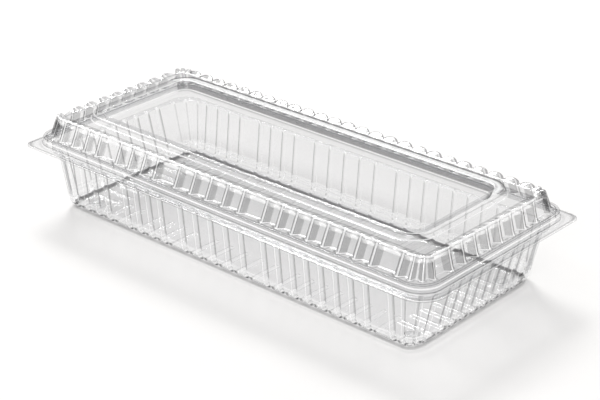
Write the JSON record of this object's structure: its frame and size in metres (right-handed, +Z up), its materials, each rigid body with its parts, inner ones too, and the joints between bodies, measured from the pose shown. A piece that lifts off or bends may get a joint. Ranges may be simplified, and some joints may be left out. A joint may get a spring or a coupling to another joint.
{
  "type": "hinged food container",
  "caption": "Clear thermoformed plastic food container with fluted walls and a hinged lid that nests on a raised rim bead.",
  "frame": {"origin": "under the middle of the floor, on the surface the container stands on", "axes": "+X along the container's length, +Y from the opening side towards the hinge crease, +Z up"},
  "size_m": [0.28, 0.125, 0.054],
  "materials": {
    "clear_sheet": "clear gloss"
  },
  "bodies": {
    "base": {"base": "clear_sheet"},
    "lid": {"lid": "clear_sheet"}
  },
  "joints": [
    {"name": "lid_hinge", "type": "hinge", "parent": "base", "child": "lid", "pos_m": [0, 0.0625, 0.0356], "axis": [-1, 0, 0], "range_deg": [0, 180]}
  ]
}
